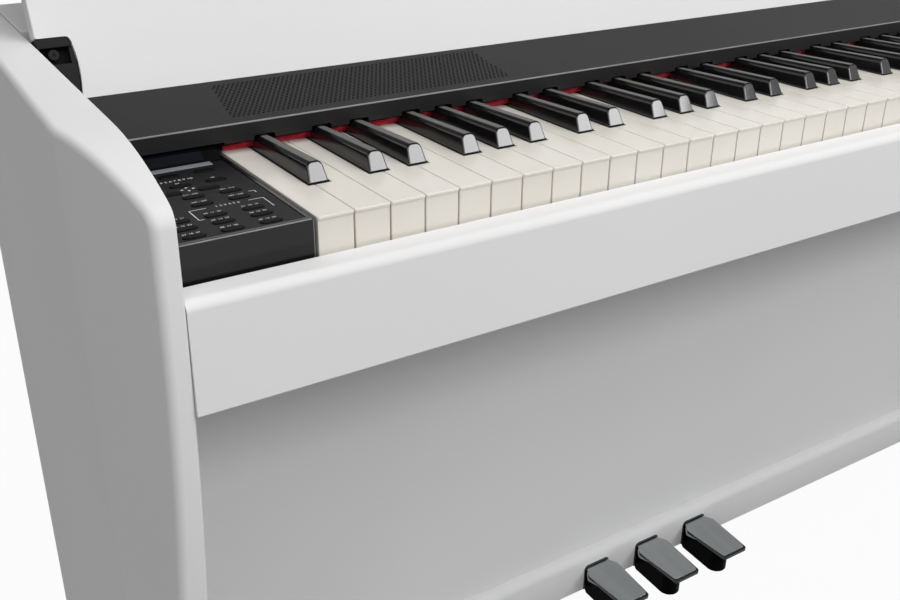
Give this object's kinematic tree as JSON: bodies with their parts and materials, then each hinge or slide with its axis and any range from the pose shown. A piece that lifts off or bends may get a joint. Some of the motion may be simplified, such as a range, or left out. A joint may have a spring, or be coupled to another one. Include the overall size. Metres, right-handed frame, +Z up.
{
  "type": "digital piano on stand",
  "caption": "Console digital piano: white cabinet with a piano keyboard, control block, folding lid, speaker grilles and sprung pedals.",
  "frame": {"origin": "middle of the footprint, on the floor, with the lid open", "axes": "+X along the keyboard towards the high notes, +Z up, the player sits on the -Y side"},
  "size_m": [1.4586, 0.3746, 1.0663],
  "materials": {
    "white_cabinet": "painted white, satin",
    "key_white": "polished ivory white",
    "key_black": "polished black",
    "black_panel": "satin black",
    "grille": "perforated sheet, satin black",
    "black_plastic": "satin black",
    "red_felt": "woven felt",
    "gloss_black": "piano gloss",
    "display_glass": "smoked",
    "button_rubber": "satin",
    "pedal_chrome": "polished",
    "steel": "plain",
    "circuit_board": "lacquered"
  },
  "bodies": {
    "cabinet": {"cheek_block_right": "gloss_black", "control_block": "gloss_black", "display_window": "display_glass", "fascia": "black_panel", "felt_strip": "red_felt", "front_rail": "white_cabinet", "jack_panel": "black_plastic", "key_bed": "white_cabinet", "key_chassis": "steel", "knee_panel": "white_cabinet", "main_board": "circuit_board", "pedal_axle": "steel", "pedal_frame": "black_plastic", "pedal_rail": "white_cabinet", "rear_panel": "white_cabinet", "rear_top_panel": "white_cabinet", "side_panel_left": "white_cabinet", "side_panel_right": "white_cabinet", "speaker_grille_left": "grille", "speaker_grille_right": "grille", "speaker_left": "black_plastic", "speaker_right": "black_plastic"},
    "lid": {"lid": "white_cabinet", "lid_hinge_arm_left": "black_plastic", "lid_hinge_arm_right": "black_plastic"},
    "cursor_buttons": {"cursor_buttons": "button_rubber"},
    "sound_buttons": {"sound_buttons": "button_rubber"},
    "pedal_left": {"pedal_lever_left": "black_plastic", "pedal_plate_left": "pedal_chrome"},
    "pedal_middle": {"pedal_lever_middle": "black_plastic", "pedal_plate_middle": "pedal_chrome"},
    "pedal_right": {"pedal_lever_right": "black_plastic", "pedal_plate_right": "pedal_chrome"},
    "key_A0": {"key_A0": "key_white"},
    "key_As0": {"key_As0": "key_black"},
    "key_B0": {"key_B0": "key_white"},
    "key_C1": {"key_C1": "key_white"},
    "key_Cs1": {"key_Cs1": "key_black"},
    "key_D1": {"key_D1": "key_white"},
    "key_Ds1": {"key_Ds1": "key_black"},
    "key_E1": {"key_E1": "key_white"},
    "key_F1": {"key_F1": "key_white"},
    "key_Fs1": {"key_Fs1": "key_black"},
    "key_G1": {"key_G1": "key_white"},
    "key_Gs1": {"key_Gs1": "key_black"},
    "key_A1": {"key_A1": "key_white"},
    "key_As1": {"key_As1": "key_black"},
    "key_B1": {"key_B1": "key_white"},
    "octave_2_white_keys": {"octave_2_white_keys": "key_white"},
    "octave_2_black_keys": {"octave_2_black_keys": "key_black"},
    "octave_3_white_keys": {"octave_3_white_keys": "key_white"},
    "octave_3_black_keys": {"octave_3_black_keys": "key_black"},
    "octave_4_white_keys": {"octave_4_white_keys": "key_white"},
    "octave_4_black_keys": {"octave_4_black_keys": "key_black"},
    "octave_5_white_keys": {"octave_5_white_keys": "key_white"},
    "octave_5_black_keys": {"octave_5_black_keys": "key_black"},
    "octave_6_white_keys": {"octave_6_white_keys": "key_white"},
    "octave_6_black_keys": {"octave_6_black_keys": "key_black"},
    "octave_7_white_keys": {"octave_7_white_keys": "key_white"},
    "octave_7_black_keys": {"octave_7_black_keys": "key_black"}
  },
  "joints": [
    {"name": "lid_hinge", "type": "hinge", "parent": "cabinet", "child": "lid", "pos_m": [0, 0.0726, 0.80183], "axis": [1, 0, 0], "range_deg": [0, 113.6]},
    {"name": "pedal_left_hinge", "type": "hinge", "parent": "cabinet", "child": "pedal_left", "pos_m": [-0.0865, 0.1743, 0.05], "axis": [1, 0, 0], "range_deg": [0, 5.5], "stiffness_Nm_per_rad": 6, "springref_deg": -8.59},
    {"name": "pedal_middle_hinge", "type": "hinge", "parent": "cabinet", "child": "pedal_middle", "pos_m": [0, 0.1743, 0.05], "axis": [1, 0, 0], "range_deg": [0, 5.5], "stiffness_Nm_per_rad": 6, "springref_deg": -8.59},
    {"name": "pedal_right_hinge", "type": "hinge", "parent": "cabinet", "child": "pedal_right", "pos_m": [0.0865, 0.1743, 0.05], "axis": [1, 0, 0], "range_deg": [0, 5.5], "stiffness_Nm_per_rad": 6, "springref_deg": -8.59},
    {"name": "cursor_buttons_press", "type": "slide", "parent": "cabinet", "child": "cursor_buttons", "axis": [0, 0, -1], "range_m": [0, 0.001], "stiffness_N_per_m": 400, "springref_m": -0.002},
    {"name": "sound_buttons_press", "type": "slide", "parent": "cabinet", "child": "sound_buttons", "axis": [0, 0, -1], "range_m": [0, 0.001], "stiffness_N_per_m": 400, "springref_m": -0.002},
    {"name": "octave_2_white_keys_pivot", "type": "hinge", "parent": "cabinet", "child": "octave_2_white_keys", "pos_m": [0, 0.0513, 0.726], "axis": [1, 0, 0], "range_deg": [0, 2.6], "stiffness_Nm_per_rad": 7.7, "springref_deg": -11.46},
    {"name": "octave_2_black_keys_pivot", "type": "hinge", "parent": "cabinet", "child": "octave_2_black_keys", "pos_m": [0, 0.0758, 0.726], "axis": [1, 0, 0], "range_deg": [0, 2.6], "stiffness_Nm_per_rad": 4, "springref_deg": -11.46},
    {"name": "octave_3_white_keys_pivot", "type": "hinge", "parent": "cabinet", "child": "octave_3_white_keys", "pos_m": [0, 0.0513, 0.726], "axis": [1, 0, 0], "range_deg": [0, 2.6], "stiffness_Nm_per_rad": 7.7, "springref_deg": -11.46},
    {"name": "octave_3_black_keys_pivot", "type": "hinge", "parent": "cabinet", "child": "octave_3_black_keys", "pos_m": [0, 0.0758, 0.726], "axis": [1, 0, 0], "range_deg": [0, 2.6], "stiffness_Nm_per_rad": 4, "springref_deg": -11.46},
    {"name": "octave_4_white_keys_pivot", "type": "hinge", "parent": "cabinet", "child": "octave_4_white_keys", "pos_m": [0, 0.0513, 0.726], "axis": [1, 0, 0], "range_deg": [0, 2.6], "stiffness_Nm_per_rad": 7.7, "springref_deg": -11.46},
    {"name": "octave_4_black_keys_pivot", "type": "hinge", "parent": "cabinet", "child": "octave_4_black_keys", "pos_m": [0, 0.0758, 0.726], "axis": [1, 0, 0], "range_deg": [0, 2.6], "stiffness_Nm_per_rad": 4, "springref_deg": -11.46},
    {"name": "octave_5_white_keys_pivot", "type": "hinge", "parent": "cabinet", "child": "octave_5_white_keys", "pos_m": [0, 0.0513, 0.726], "axis": [1, 0, 0], "range_deg": [0, 2.6], "stiffness_Nm_per_rad": 7.7, "springref_deg": -11.46},
    {"name": "octave_5_black_keys_pivot", "type": "hinge", "parent": "cabinet", "child": "octave_5_black_keys", "pos_m": [0, 0.0758, 0.726], "axis": [1, 0, 0], "range_deg": [0, 2.6], "stiffness_Nm_per_rad": 4, "springref_deg": -11.46},
    {"name": "octave_6_white_keys_pivot", "type": "hinge", "parent": "cabinet", "child": "octave_6_white_keys", "pos_m": [0, 0.0513, 0.726], "axis": [1, 0, 0], "range_deg": [0, 2.6], "stiffness_Nm_per_rad": 7.7, "springref_deg": -11.46},
    {"name": "octave_6_black_keys_pivot", "type": "hinge", "parent": "cabinet", "child": "octave_6_black_keys", "pos_m": [0, 0.0758, 0.726], "axis": [1, 0, 0], "range_deg": [0, 2.6], "stiffness_Nm_per_rad": 4, "springref_deg": -11.46},
    {"name": "octave_7_white_keys_pivot", "type": "hinge", "parent": "cabinet", "child": "octave_7_white_keys", "pos_m": [0, 0.0513, 0.726], "axis": [1, 0, 0], "range_deg": [0, 2.6], "stiffness_Nm_per_rad": 8.8, "springref_deg": -11.46},
    {"name": "octave_7_black_keys_pivot", "type": "hinge", "parent": "cabinet", "child": "octave_7_black_keys", "pos_m": [0, 0.0758, 0.726], "axis": [1, 0, 0], "range_deg": [0, 2.6], "stiffness_Nm_per_rad": 4, "springref_deg": -11.46},
    {"name": "key_A0_pivot", "type": "hinge", "parent": "cabinet", "child": "key_A0", "pos_m": [0, 0.0513, 0.726], "axis": [1, 0, 0], "range_deg": [0, 2.6], "stiffness_Nm_per_rad": 1.1, "springref_deg": -11.46},
    {"name": "key_As0_pivot", "type": "hinge", "parent": "cabinet", "child": "key_As0", "pos_m": [0, 0.0758, 0.726], "axis": [1, 0, 0], "range_deg": [0, 2.6], "stiffness_Nm_per_rad": 0.8, "springref_deg": -11.46},
    {"name": "key_B0_pivot", "type": "hinge", "parent": "cabinet", "child": "key_B0", "pos_m": [0, 0.0513, 0.726], "axis": [1, 0, 0], "range_deg": [0, 2.6], "stiffness_Nm_per_rad": 1.1, "springref_deg": -11.46},
    {"name": "key_C1_pivot", "type": "hinge", "parent": "cabinet", "child": "key_C1", "pos_m": [0, 0.0513, 0.726], "axis": [1, 0, 0], "range_deg": [0, 2.6], "stiffness_Nm_per_rad": 1.1, "springref_deg": -11.46},
    {"name": "key_Cs1_pivot", "type": "hinge", "parent": "cabinet", "child": "key_Cs1", "pos_m": [0, 0.0758, 0.726], "axis": [1, 0, 0], "range_deg": [0, 2.6], "stiffness_Nm_per_rad": 0.8, "springref_deg": -11.46},
    {"name": "key_D1_pivot", "type": "hinge", "parent": "cabinet", "child": "key_D1", "pos_m": [0, 0.0513, 0.726], "axis": [1, 0, 0], "range_deg": [0, 2.6], "stiffness_Nm_per_rad": 1.1, "springref_deg": -11.46},
    {"name": "key_Ds1_pivot", "type": "hinge", "parent": "cabinet", "child": "key_Ds1", "pos_m": [0, 0.0758, 0.726], "axis": [1, 0, 0], "range_deg": [0, 2.6], "stiffness_Nm_per_rad": 0.8, "springref_deg": -11.46},
    {"name": "key_E1_pivot", "type": "hinge", "parent": "cabinet", "child": "key_E1", "pos_m": [0, 0.0513, 0.726], "axis": [1, 0, 0], "range_deg": [0, 2.6], "stiffness_Nm_per_rad": 1.1, "springref_deg": -11.46},
    {"name": "key_F1_pivot", "type": "hinge", "parent": "cabinet", "child": "key_F1", "pos_m": [0, 0.0513, 0.726], "axis": [1, 0, 0], "range_deg": [0, 2.6], "stiffness_Nm_per_rad": 1.1, "springref_deg": -11.46},
    {"name": "key_Fs1_pivot", "type": "hinge", "parent": "cabinet", "child": "key_Fs1", "pos_m": [0, 0.0758, 0.726], "axis": [1, 0, 0], "range_deg": [0, 2.6], "stiffness_Nm_per_rad": 0.8, "springref_deg": -11.46},
    {"name": "key_G1_pivot", "type": "hinge", "parent": "cabinet", "child": "key_G1", "pos_m": [0, 0.0513, 0.726], "axis": [1, 0, 0], "range_deg": [0, 2.6], "stiffness_Nm_per_rad": 1.1, "springref_deg": -11.46},
    {"name": "key_Gs1_pivot", "type": "hinge", "parent": "cabinet", "child": "key_Gs1", "pos_m": [0, 0.0758, 0.726], "axis": [1, 0, 0], "range_deg": [0, 2.6], "stiffness_Nm_per_rad": 0.8, "springref_deg": -11.46},
    {"name": "key_A1_pivot", "type": "hinge", "parent": "cabinet", "child": "key_A1", "pos_m": [0, 0.0513, 0.726], "axis": [1, 0, 0], "range_deg": [0, 2.6], "stiffness_Nm_per_rad": 1.1, "springref_deg": -11.46},
    {"name": "key_As1_pivot", "type": "hinge", "parent": "cabinet", "child": "key_As1", "pos_m": [0, 0.0758, 0.726], "axis": [1, 0, 0], "range_deg": [0, 2.6], "stiffness_Nm_per_rad": 0.8, "springref_deg": -11.46},
    {"name": "key_B1_pivot", "type": "hinge", "parent": "cabinet", "child": "key_B1", "pos_m": [0, 0.0513, 0.726], "axis": [1, 0, 0], "range_deg": [0, 2.6], "stiffness_Nm_per_rad": 1.1, "springref_deg": -11.46}
  ]
}
